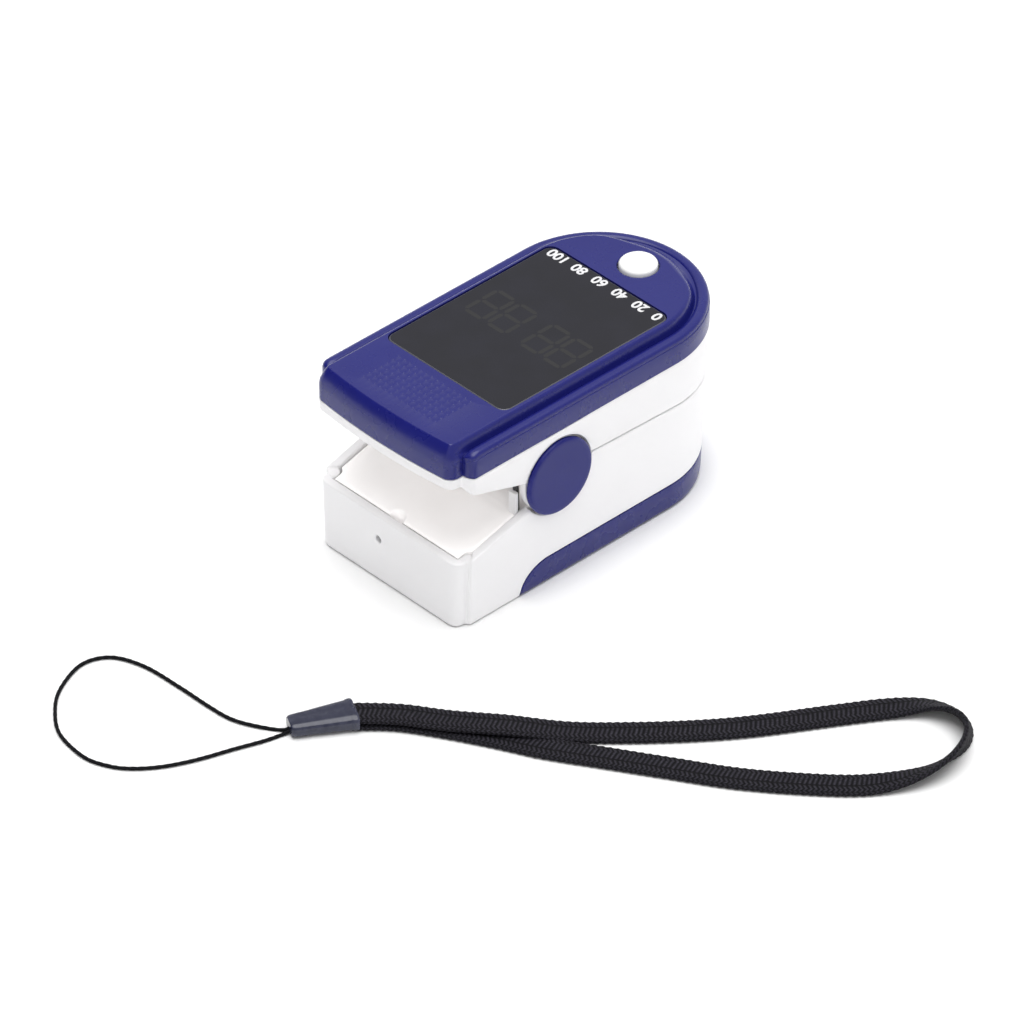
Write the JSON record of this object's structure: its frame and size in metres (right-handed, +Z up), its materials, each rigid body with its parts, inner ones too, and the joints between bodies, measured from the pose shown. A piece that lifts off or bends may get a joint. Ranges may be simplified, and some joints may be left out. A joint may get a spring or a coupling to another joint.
{
  "type": "fingertip pulse oximeter",
  "caption": "Hinged fingertip clip with a dark display window, push button, sliding battery cover, soft finger pads and a loose wrist lanyard.",
  "frame": {"origin": "centre of the clip's base on the table, under the middle of its bounding box", "axes": "+Z up, -Y out of the mouth, +X across the clip along the jaw hinge"},
  "size_m": [0.1035, 0.1162, 0.0332],
  "materials": {
    "white_shell": "fine satin moulded ABS",
    "blue_shell": "satin moulded ABS",
    "pad_rubber": "soft matt silicone",
    "smoked_window": "smoked acrylic, polished",
    "button_white": "smooth moulded plastic",
    "spring_steel": "bright drawn steel",
    "nickel": "nickel plated strip",
    "board_green": "solder mask on glass fibre board",
    "chip_black": "moulded epoxy",
    "cell_jacket": "printed film over a steel can",
    "clear_lens": "clear epoxy",
    "cable_black": "soft vinyl",
    "strap_black": "braided polyester",
    "ferrule_vinyl": "glossy vinyl"
  },
  "bodies": {
    "lower_body": {"lower_shell": "white_shell", "lower_tray": "white_shell", "lower_pad": "pad_rubber", "battery_left": "cell_jacket", "battery_right": "cell_jacket", "battery_bridge_contact": "nickel", "positive_contact_plate": "nickel", "negative_contact_spring": "nickel", "detector_board": "board_green", "photodiode": "chip_black", "detector_lens": "clear_lens", "tray_screw_1": "spring_steel", "tray_screw_2": "spring_steel", "hinge_pin_left": "spring_steel", "hinge_pin_right": "spring_steel", "torsion_spring_left": "spring_steel", "torsion_spring_right": "spring_steel", "pivot_cap_left": "blue_shell", "pivot_cap_right": "blue_shell", "sensor_cable": "cable_black", "power_cable": "cable_black"},
    "upper_jaw": {"upper_shell": "white_shell", "upper_tray": "white_shell", "upper_pad": "pad_rubber", "emitter_board": "board_green", "led_emitter": "clear_lens", "emitter_lens": "clear_lens", "main_pcb": "board_green", "controller_chip": "chip_black", "analog_chip": "chip_black", "timing_crystal": "nickel", "display_module": "chip_black", "tactile_switch": "chip_black", "display_window": "smoked_window", "top_cover": "blue_shell", "case_screw_1": "spring_steel", "case_screw_2": "spring_steel", "case_screw_3": "spring_steel", "case_screw_4": "spring_steel"},
    "power_button": {"power_button": "button_white"},
    "battery_cover": {"battery_cover": "blue_shell"},
    "lanyard": {"lanyard_string": "cable_black", "lanyard_ferrule": "ferrule_vinyl", "lanyard_strap": "strap_black"}
  },
  "joints": [
    {"name": "jaw_hinge", "type": "hinge", "parent": "lower_body", "child": "upper_jaw", "pos_m": [0, -0.0097, 0.019], "axis": [1, 0, 0], "range_deg": [0, 13], "deforming": ["torsion_spring_left", "torsion_spring_right", "sensor_cable", "power_cable"]},
    {"name": "button_press", "type": "slide", "parent": "upper_jaw", "child": "power_button", "axis": [0, 0, -1], "range_m": [0, 0.0005], "stiffness_N_per_m": 400},
    {"name": "battery_cover_slide", "type": "slide", "parent": "lower_body", "child": "battery_cover", "axis": [0, 1, 0], "range_m": [0, 0.046]},
    {"name": "lanyard_lift", "type": "slide", "parent": "lower_body", "child": "lanyard", "axis": [0, 0, 1], "range_m": [0, 0.05]}
  ]
}
